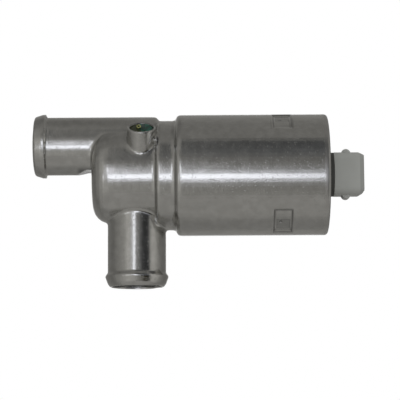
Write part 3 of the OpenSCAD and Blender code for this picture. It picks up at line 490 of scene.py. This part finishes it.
# Cast aluminium: grain sizes and depths of the bumps in millimetres, where each mark, painted shade and
# painted highlight begins, and its colour
castSkin = {
    "pitSize": 0.48,
    "pitDepth": 0.019,
    "pitted": (0.2, 0.36),
    "skinSize": 2.6,
    "skinDepth": 0.013,
    "dull": (0.25, 0.75),
    "stainSize": 14.0,
    "stained": (0.3, 0.7),
    "pimpleSize": 0.6,
    "pimpleDepth": 0.02,
    "pimples": (0.7, 0.82),
    "hollow": (0.08, 0.6),
    "ridge": (0.1, 0.7),
    "rim": (25.4, 26.6),
    "rimPits": 1.5,
    "bright": (0.59, 0.585, 0.565),
    "stainColour": (0.545, 0.54, 0.52),
    "dullColour": (0.50, 0.495, 0.475),
    "pitColour": (0.42, 0.415, 0.40),
    # marks, painted shade and painted highlight: how much of the colour they take, and the colour
    "flatMark": (0.4, (0.32, 0.32, 0.31)),
    # painted shade: the casting's hollows are darkened
    "hollowShade": (0.35, (0.2, 0.2, 0.19)),
    # painted shade: the pocket outlines are darkened
    "pocketLineShade": (1.0, (0.12, 0.12, 0.115)),
    # painted shade: the far side of the boss's rim is darkened
    "rimShade": (0.75, (0.17, 0.17, 0.165)),
    # painted shade: the hollow under the inlet pipe is darkened
    "pipeShade": (0.7, (0.1, 0.1, 0.1)),
    # painted highlight: the casting's ridges are lightened
    "ridgeHighlight": (0.15, (0.78, 0.78, 0.77)),
    # roughness: at least, and what each mark adds
    "roughness": 0.115,
    "skinRough": 0.06,
    "stainRough": 0.04,
    "pitRough": 0.04,
    "hollowRough": 0.1,
    "rimRough": 0.15,
}


def castAluminium():
    material, board = newMaterial("castAluminium")
    pits = board.grain(castSkin["pitSize"], rough=0.55)
    skin = board.grain(castSkin["skinSize"])
    stain = board.grain(castSkin["stainSize"], detail=3.0, rough=0.6)
    pimples = board.smooth(board.grain(castSkin["pimpleSize"], detail=0.0), *castSkin["pimples"])
    bend = board.add("ShaderNodeAttribute", {"attribute_name": "bend"}, {}, 2)
    # the bend paints shade into hollows and a highlight onto ridges, and makes hollows rougher
    hollow = board.smooth(bend, *castSkin["hollow"])
    ridge = board.smooth(bend * -1.0, *castSkin["ridge"])
    mark, flat, lineShade, along = punchMark(board)
    rim = board.smooth(along, *castSkin["rim"])
    stained = board.smooth(stain, *castSkin["stained"])
    colour = board.blend(stained, castSkin["stainColour"], castSkin["bright"])
    colour = board.blend(board.smooth(skin, *castSkin["dull"]), castSkin["dullColour"], colour)
    colour = board.blend(board.smooth(pits, *castSkin["pitted"]), castSkin["pitColour"], colour)
    # the colour takes the punched flat, painted shade in hollows, along the pocket outlines, on the boss's
    # far rim and under the inlet pipe, and a painted highlight on ridges
    marksAndPaintedLight = (("flatMark", flat), ("hollowShade", hollow), ("pocketLineShade", lineShade), ("rimShade", farRim(board)),
             ("pipeShade", underPipe(board)), ("ridgeHighlight", ridge))
    for name, where in marksAndPaintedLight:
        share, tone = castSkin[name]
        colour = board.blend(where * share, colour, tone)
    roughness = castSkin["roughness"] + skin * castSkin["skinRough"] + stain * castSkin["stainRough"]
    roughness = roughness + pits * castSkin["pitRough"] + hollow * castSkin["hollowRough"]
    roughness = board.clamp(roughness + rim * castSkin["rimRough"])
    normal = board.bump(pits * (1.0 + rim * castSkin["rimPits"]), castSkin["pitDepth"])
    normal = board.bump(skin, castSkin["skinDepth"], normal=normal)
    normal = board.bump(pimples, castSkin["pimpleDepth"], normal=normal)
    normal = board.bump(mark, 1.0, normal=normal)
    closeMaterial(board, {"Base Color": colour, "Metallic": 1.0, "Roughness": roughness, "Normal": normal})
    return material


# Other metals: fine streaks over soft clouds
metalLook = {
    "cloudSize": 5.0,
    "streaks": (0.3, 0.7),
    "cloudRough": 0.12,
    "streakRough": 0.08,
    "bump": 0.6,
}


def metalFinish(name, light, dark, rough, size=0.8, stretch=(1, 1, 1), depth=0.01):
    material, board = newMaterial(name)
    streak = board.grain(size, detail=3.0, rough=0.6, vector=board.stretched(stretch))
    cloud = board.grain(metalLook["cloudSize"])
    colour = board.blend(board.smooth(streak, *metalLook["streaks"]), dark, light)
    roughness = rough + (cloud - 0.5) * metalLook["cloudRough"] + (streak - 0.5) * metalLook["streakRough"]
    closeMaterial(board, {"Base Color": colour, "Metallic": 1.0, "Roughness": board.clamp(roughness),
                          "Normal": board.bump(streak, depth, metalLook["bump"])})
    return material


# Plastics and rubber: a fine grain over soft clouds. The plug is lighter at its root, painted light where the
# can shades it, and darker at its mouth, painted shade
plasticLook = {
    "cloudSize": 6.0,
    "clouds": (0.3, 0.7),
    "cloudRough": 0.15,
    "bump": 0.5,
    "specular": 0.45,
    # painted light at the plug's root, and painted shade at its mouth
    "rootLight": 1.3,
    "mouthFrom": (39.7, 40.1),
    "mouth": 0.8,
}


def plasticFinish(name, light, dark, rough, size=0.35, depth=0.02, rootLightFade=None):
    material, board = newMaterial(name)
    grain = board.grain(size)
    cloud = board.grain(plasticLook["cloudSize"], detail=3.0)
    colour = board.blend(board.smooth(cloud, *plasticLook["clouds"]), dark, light)
    if rootLightFade:
        along = board.reach(1, 0, 0)
        rootLight = [part * plasticLook["rootLight"] for part in light]
        mouth = [part * plasticLook["mouth"] for part in light]
        # painted light: the plug's root is lighter where the can shades it
        colour = board.blend(1.0 - board.smooth(along, *rootLightFade), colour, rootLight)
        # painted shade: the plug's mouth is darkened
        colour = board.blend(board.smooth(along, *plasticLook["mouthFrom"]), colour, mouth)
    roughness = board.clamp(rough + (cloud - 0.5) * plasticLook["cloudRough"])
    closeMaterial(board, {"Base Color": colour, "Roughness": roughness,
                          "Normal": board.bump(grain, depth, plasticLook["bump"]),
                          "Specular IOR Level": plasticLook["specular"]})
    return material


# Sealing lacquer: olive on the left, green on the right, and a yellow ring dried on it
lacquerLook = {
    "runSize": 1.4,
    "runDepth": 0.12,
    "speckSize": 0.35,
    "thick": (0.38, 0.62),
    "greenFrom": (-40.6, -39.2),
    "wander": 2.0,
    "specks": (0.62, 0.72),
    "thinColour": (0.016, 0.04, 0.03),
    "thickColour": (0.016, 0.085, 0.06),
    "oliveColour": (0.028, 0.034, 0.014),
    "speckColour": (0.06, 0.08, 0.04),
    "roughness": 0.2,
    "speckRough": 0.25,
    "bump": 0.6,
    "ringGrain": 0.8,
    "ringDepth": 0.05,
    "ringBump": 0.5,
    "ringPale": (0.4, 0.65),
    "ringColours": ((0.15, 0.14, 0.025), (0.3, 0.31, 0.12)),
    "ringRoughness": 0.3,
    "ringRough": 0.2,
}


def greenLacquer():
    material, board = newMaterial("greenLacquer")
    run = board.grain(lacquerLook["runSize"])
    speck = board.grain(lacquerLook["speckSize"])
    thick = board.smooth(run, *lacquerLook["thick"])
    onRight = board.smooth(board.reach(1, 0, 0) + run * lacquerLook["wander"], *lacquerLook["greenFrom"])
    colour = board.blend(thick, lacquerLook["thinColour"], lacquerLook["thickColour"])
    colour = board.blend(onRight, lacquerLook["oliveColour"], colour)
    colour = board.blend(board.smooth(speck, *lacquerLook["specks"]), colour, lacquerLook["speckColour"])
    roughness = board.clamp(lacquerLook["roughness"] + speck * lacquerLook["speckRough"])
    closeMaterial(board, {"Base Color": colour, "Roughness": roughness,
                          "Normal": board.bump(run, lacquerLook["runDepth"], lacquerLook["bump"])})
    return material


def driedRing():
    material, board = newMaterial("driedRing")
    cloud = board.grain(lacquerLook["ringGrain"])
    colour = board.blend(board.smooth(cloud, *lacquerLook["ringPale"]), *lacquerLook["ringColours"])
    roughness = board.clamp(lacquerLook["ringRoughness"] + cloud * lacquerLook["ringRough"])
    closeMaterial(board, {"Base Color": colour, "Roughness": roughness,
                          "Normal": board.bump(cloud, lacquerLook["ringDepth"], lacquerLook["ringBump"])})
    return material


# Finishes, one for each material slot of the record: light and dark tone, roughness, grain, stretch, depth
finishes = {
    "cast_aluminium": castAluminium(),
    "plated_steel": metalFinish("platedSteel", (0.66, 0.6, 0.42), (0.5, 0.45, 0.32), 0.3),
    "green_lacquer": greenLacquer(),
    "slide_alloy": metalFinish("slideAlloy", (0.36, 0.37, 0.39), (0.24, 0.25, 0.27), 0.42, 0.5),
    "bright_steel": metalFinish("brightSteel", (0.68, 0.68, 0.69), (0.55, 0.55, 0.56), 0.2, 0.3, (1, 6, 6)),
    "bearing_steel": metalFinish("bearingSteel", (0.74, 0.74, 0.75), (0.64, 0.64, 0.65), 0.12, 0.6),
    "brass": metalFinish("turnedBrass", (0.72, 0.55, 0.27), (0.58, 0.43, 0.2), 0.28, 0.3, (6, 1, 1)),
    "spring_steel": metalFinish("bluedSteel", (0.3, 0.33, 0.4), (0.2, 0.21, 0.25), 0.3, 0.6),
    "black_rubber": plasticFinish("blackRubber", (0.035, 0.035, 0.035), (0.022, 0.022, 0.022), 0.6, 0.25),
    "laminated_iron": metalFinish("laminatedIron", (0.34, 0.35, 0.38), (0.19, 0.2, 0.22), 0.42, 0.5,
                                  (1, 0.06, 0.06), 0.03),
    "cream_plastic": plasticFinish("creamPlastic", (0.66, 0.6, 0.45), (0.6, 0.54, 0.39), 0.45),
    "enamelled_copper": metalFinish("enamelledCopper", (0.62, 0.25, 0.09), (0.38, 0.13, 0.05), 0.28, 0.4,
                                    (0.3, 0.3, 2), 0.03),
    "magnet": metalFinish("sinteredMagnet", (0.16, 0.16, 0.17), (0.09, 0.09, 0.1), 0.5, 0.4),
    "turned_aluminium": metalFinish("turnedAluminium", (0.62, 0.62, 0.62), (0.5, 0.5, 0.5), 0.28, 0.3,
                                    (6, 1, 1)),
    "dark_plastic": plasticFinish("darkPlastic", (0.05, 0.05, 0.044), (0.035, 0.035, 0.03), 0.5),
    # the plug's last pair: where the painted light at its root fades out
    "grey_plastic": plasticFinish("greyPlastic", (0.315, 0.32, 0.3), (0.29, 0.295, 0.275), 0.55, 0.5,
                                  0.015, (27, 39)),
    "tinned_brass": metalFinish("tinnedBrass", (0.72, 0.7, 0.62), (0.58, 0.55, 0.46), 0.25, 0.5, (1, 5, 5)),
}
slotOf = {part["node"]: part["material_slot"] for part in frame["record"]["subparts"]}
for name, slot in slotOf.items():
    nodes[name].data.materials.clear()
    nodes[name].data.materials.append(finishes[slot])
print("finishes made")


# Copies of CAD meshes, merged, that take soft edges
mergeDistance = 0.002
smoothing = 0.5


def mergedCopy(node, name):
    shape = bmesh.new()
    shape.from_mesh(nodes[node].data)
    bmesh.ops.remove_doubles(shape, verts=shape.verts, dist=mergeDistance * millimetre)
    return newPiece(shape, name)


def addRemesh(piece, voxel):
    remesh = piece.modifiers.new("remesh", "REMESH")
    remesh.mode = "VOXEL"
    remesh.voxel_size = voxel * millimetre


def addSmoothing(piece, name, passes, group=""):
    soften = piece.modifiers.new(name, "SMOOTH")
    soften.factor = smoothing
    soften.iterations = passes
    soften.vertex_group = group


def applyModifiers(piece):
    bpy.context.view_layer.update()
    graph = bpy.context.evaluated_depsgraph_get()
    mesh = bpy.data.meshes.new_from_object(piece.evaluated_get(graph))
    piece.modifiers.clear()
    piece.data = mesh


def finishPiece(piece, node):
    piece.data.materials.clear()
    piece.data.materials.append(finishes[slotOf[node]])
    piece.data.polygons.foreach_set("use_smooth", [True] * len(piece.data.polygons))
    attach(piece, "body")
    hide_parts(node)


def limited(value):
    return min(max(value, 0.0), 1.0)


# The casting's skin: remeshed, softened in its inside corners, then marked and trimmed
def readVertices(mesh, what):
    values = np.empty(len(mesh.vertices) * 3)
    mesh.vertices.foreach_get(what, values)
    return values.reshape(-1, 3)


def cornerWeights(mesh):
    # a point near two of the casting's outer surfaces lies in an inside corner
    x, y, z = (readVertices(mesh, "co") / millimetre).T
    bossY = y * math.cos(bossLean) + z * math.sin(bossLean) + casting["bossOffset"]
    bossUp = z * math.cos(bossLean) - y * math.sin(bossLean)
    out = np.hypot(y, z)
    fromInlet = np.hypot(y, z - casting["inletHeight"])
    fromOutlet = np.hypot(x - casting["outletPlace"], y)
    fromBossAxis = np.hypot(x - casting["bossPlace"], bossY)
    atShoulder = abs(x - casting["canFace"]) < casting["shoulderReach"]
    atShoulder &= out > casting["neckRadius"] - casting["shoulderDepth"]
    margin = casting["margin"]
    # where each surface counts, and how far a point lies from it
    surfaces = (
        (x < casting["neckFace"] + margin, out - casting["chamberRadius"]),
        (x < casting["inletEnd"] + margin, fromInlet - casting["pipeRadius"]),
        (z < casting["outletBelow"], fromOutlet - casting["pipeRadius"]),
        (bossUp > casting["bossAbove"], fromBossAxis - casting["bossRadius"]),
        (out > casting["chamberRadius"] - margin, x - casting["neckFace"]),
        (out < casting["chamberRadius"] - casting["frontInset"], x - casting["chamberFace"]),
        (atShoulder & (x < casting["canFace"] + margin), out - casting["neckRadius"]),
        (atShoulder & (x > casting["canFace"] - margin), out - casting["canRadius"]),
        (atShoulder, x - casting["canFace"]),
    )
    far = 99.0
    near = np.sort(np.stack([np.where(counts, abs(gap), far) for counts, gap in surfaces]), axis=0)
    corner = np.clip(1 - near[1] / casting["cornerReach"], 0, 1)
    outside = np.clip(casting["outsideReach"] - near[0], 0, 1)
    weight = corner * outside
    return weight * weight * (3 - 2 * weight)


def pressFlats(mesh):
    # the punch leaves a shallow flat in each pocket's floor
    lowest, highest = punch["floorBetween"]
    for vertex in mesh.vertices:
        x, y, z = vertex.co / millimetre
        out = math.hypot(y, z)
        if abs(x - punch["along"]) > punch["reach"] or not lowest < out < highest:
            continue
        third = math.atan2(z, y) * 1.5 / math.pi
        across = (third - round(third)) * 2 * math.pi / 3 * punch["floorRadius"] * math.copysign(1, -z)
        press = punch["flatDepth"]
        for value, (low, high) in ((x - punch["along"], punch["flatAlong"]), (across, punch["flatAcross"])):
            press *= limited(min(value - low, high - value) / punch["flatSlope"])
        vertex.co.y *= 1 - press / out
        vertex.co.z *= 1 - press / out


def tightenRim(mesh):
    # the rolled rim turns a little tighter than a plain rounding does
    startX, startOut = casting["rimFrom"]
    inner = casting["rimShare"] * casting["rimRadius"]
    power = casting["rimPower"]
    for vertex in mesh.vertices:
        x, y, z = vertex.co / millimetre
        out = math.hypot(y, z)
        alongX, alongOut = x - startX, out - startOut
        if alongX <= 0 or alongOut <= 0 or math.hypot(alongX, alongOut) < inner:
            continue
        grow = math.hypot(alongX, alongOut) / (alongX ** power + alongOut ** power) ** (1 / power)
        newOut = startOut + alongOut * grow
        vertex.co = Vector((startX + alongX * grow, y * newOut / out, z * newOut / out)) * millimetre


def fillNose(mesh):
    # the inlet's nose rises in a cone to the bead, whose back is short and steep
    places, radii = casting["nose"]
    axis = (0.0, 0.0, casting["inletHeight"])
    fromAxis = readVertices(mesh, "co") / millimetre - axis
    normals = readVertices(mesh, "normal")
    out = np.hypot(fromAxis[:, 1], fromAxis[:, 2])
    least = 0.01
    facing = (normals[:, 1] * fromAxis[:, 1] + normals[:, 2] * fromAxis[:, 2]) / np.maximum(out, least)
    along = fromAxis[:, 0]
    outside = (along < casting["noseEnd"]) & (out > casting["noseInner"]) & (facing > casting["noseFacing"])
    for edge in casting["noseEdges"]:
        along[outside & (abs(along - edge) < casting["edgeReach"])] = edge
    grow = np.interp(along, places, radii) / np.maximum(out, least)
    moved = outside & ((grow > 1) | (along > casting["noseExact"]))
    fromAxis[moved, 1:] *= grow[moved, None]
    mesh.vertices.foreach_set("co", ((fromAxis + axis) * millimetre).ravel())
    mesh.update()


def dropSlivers(mesh):
    # the moved points leave bent quads and slivers, which would fold where they are cut into triangles
    shape = bmesh.new()
    shape.from_mesh(mesh)
    bmesh.ops.dissolve_degenerate(shape, edges=shape.edges, dist=casting["sliver"] * millimetre)
    bmesh.ops.triangulate(shape, faces=shape.faces)
    shape.to_mesh(mesh)
    shape.free()


def markBends(mesh):
    # how much the surface bends at each point: above nought in a hollow, below it on a ridge
    count = len(mesh.vertices)
    points = readVertices(mesh, "co") / millimetre
    normals = readVertices(mesh, "normal")
    edges = np.empty(len(mesh.edges) * 2, dtype=np.int32)
    mesh.edges.foreach_get("vertices", edges)
    first, second = edges.reshape(-1, 2).T
    links = np.maximum(np.bincount(first, minlength=count) + np.bincount(second, minlength=count), 1)
    span = points[second] - points[first]
    shortest = 0.05
    length = np.maximum(np.linalg.norm(span, axis=1), shortest)
    fall = np.einsum("ij,ij->i", span, normals[first]) / length ** 2
    rise = -np.einsum("ij,ij->i", span, normals[second]) / length ** 2
    bend = (np.bincount(first, fall, count) + np.bincount(second, rise, count)) / links
    for _ in range(casting["bendReach"]):
        spread = np.bincount(first, bend[second], count) + np.bincount(second, bend[first], count)
        bend = 0.5 * bend + 0.5 * spread / links
    attribute = mesh.attributes.new("bend", "FLOAT", "POINT")
    attribute.data.foreach_set("value", bend.astype(np.float32))


def softCasting():
    shell = mergedCopy("housing", "castShell")
    addRemesh(shell, casting["voxel"])
    applyModifiers(shell)
    print("casting remeshed:", len(shell.data.polygons), "faces")
    group = shell.vertex_groups.new(name="corners")
    for index, weight in enumerate(cornerWeights(shell.data)):
        if weight > casting["leastWeight"]:
            group.add([index], float(weight), "REPLACE")
    addSmoothing(shell, "corners", casting["cornerPasses"], "corners")
    addSmoothing(shell, "skin", casting["skinPasses"])
    thin = shell.modifiers.new("thin", "DECIMATE")
    thin.ratio = min(1.0, casting["mostTriangles"] / (2 * len(shell.data.polygons)))
    applyModifiers(shell)
    shell.vertex_groups.clear()
    pressFlats(shell.data)
    tightenRim(shell.data)
    fillNose(shell.data)
    dropSlivers(shell.data)
    markBends(shell.data)
    print("casting softened:", len(shell.data.polygons), "faces")
    finishPiece(shell, "housing")


softCasting()


# Lacquer: poured into the well, run up its far wall, with a dried ring on it
lacquer = {
    "voxel": 0.13,
    "skinPasses": 2,
    "topFrom": 18.3,
    "topFull": 19.3,
    "creepFrom": 2.7,
    "creepFull": 4.25,
    "creepHeight": 1.45,
    "farShare": 0.35,      # how much of the creep every side has
    "farMore": 0.65,       # what the far side has on top of that
    "wander": 0.25,
    "wanderScale": 0.6,
    "wanderHeight": 3.0,
    "wave": 0.3,
    "waveScale": 0.7,
    "leastOut": 0.1,
    "ringPlace": (-1.15, 3.55, 20.6),
    "ringAxis": (0.1, -0.86, 0.5),
    "ringRadius": 0.66,
    "ringThickness": 0.24,
    "ringSegments": 20,
    "ringSteps": 48,
}
bossAcross = Vector((0.0, math.cos(bossLean), math.sin(bossLean)))
bossAxis = Vector((0.0, -math.sin(bossLean), math.cos(bossLean)))


def fromBoss(u, v, w):
    # a place given across, along and up the boss, in the part's frame
    v = v - casting["bossOffset"]
    y = v * math.cos(bossLean) - w * math.sin(bossLean)
    z = v * math.sin(bossLean) + w * math.cos(bossLean)
    return Vector((casting["bossPlace"] + u, y, z))


def lacquerRise(u, v):
    # how far the surface rises at a place in the well
    out = math.hypot(u, v)
    climb = limited((out - lacquer["creepFrom"]) / (lacquer["creepFull"] - lacquer["creepFrom"]))
    wander = noise.noise(Vector((u, v, lacquer["wanderHeight"])) * lacquer["wanderScale"])
    wave = noise.noise(Vector((u, v, 0.0)) * lacquer["waveScale"])
    far = lacquer["farShare"] + lacquer["farMore"] * v / max(out, lacquer["leastOut"])
    far = limited(far + lacquer["wander"] * wander)
    return climb ** 2 * far * lacquer["creepHeight"] + lacquer["wave"] * wave * (1 - climb)


def pouredLacquer():
    piece = mergedCopy("sealing_lacquer", "lacquerRun")
    addRemesh(piece, lacquer["voxel"])
    addSmoothing(piece, "skin", lacquer["skinPasses"])
    applyModifiers(piece)
    for vertex in piece.data.vertices:
        point = vertex.co / millimetre
        u = point.x - casting["bossPlace"]
        v = point.dot(bossAcross) + casting["bossOffset"]
        w = point.dot(bossAxis)
        share = limited((w - lacquer["topFrom"]) / (lacquer["topFull"] - lacquer["topFrom"]))
        if share > 0.0:
            vertex.co += bossAxis * (lacquerRise(u, v) * share * millimetre)
    finishPiece(piece, "sealing_lacquer")


def lacquerRing():
    shape = bmesh.new()
    bmesh.ops.create_circle(shape, cap_ends=False, segments=lacquer["ringSegments"],
                            radius=lacquer["ringThickness"])
    bmesh.ops.rotate(shape, verts=shape.verts, cent=(0, 0, 0), matrix=Matrix.Rotation(math.pi / 2, 3, "X"))
    bmesh.ops.translate(shape, verts=shape.verts, vec=(lacquer["ringRadius"], 0, 0))
    bmesh.ops.spin(shape, geom=shape.verts[:] + shape.edges[:], cent=(0, 0, 0), axis=(0, 0, 1),
                   angle=2 * math.pi, steps=lacquer["ringSteps"], use_merge=True)
    turn = Vector(lacquer["ringAxis"]).to_track_quat("Z", "Y").to_matrix().to_4x4()
    place = Matrix.Translation(fromBoss(*lacquer["ringPlace"]) * millimetre)
    bmesh.ops.transform(shape, matrix=place @ turn @ Matrix.Scale(millimetre, 4), verts=shape.verts)
    bmesh.ops.recalc_face_normals(shape, faces=shape.faces)
    ring = newPiece(shape, "lacquerRing")
    ring.data.materials.append(driedRing())
    ring.data.polygons.foreach_set("use_smooth", [True] * len(ring.data.polygons))
    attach(ring, "body")


pouredLacquer()
lacquerRing()
print("lacquer poured")


# Plug and cap: the moulded pieces with rounded edges
moulded = {
    "plugEdge": 0.5,
    "capEdge": 0.2,
    "segments": 3,
    "profile": 0.5,
    "sharpFrom": 32,
}


def roundedCopy(node, name, width):
    piece = mergedCopy(node, name)
    edge = piece.modifiers.new("edge", "BEVEL")
    edge.width = width * millimetre
    edge.segments = moulded["segments"]
    edge.profile = moulded["profile"]
    edge.limit_method = "ANGLE"
    edge.angle_limit = math.radians(moulded["sharpFrom"])
    edge.miter_outer = "MITER_ARC"
    applyModifiers(piece)
    finishPiece(piece, node)


roundedCopy("plug_shroud", "plugShell", moulded["plugEdge"])
roundedCopy("end_cap", "capDisc", moulded["capEdge"])
print("moulded pieces rounded")
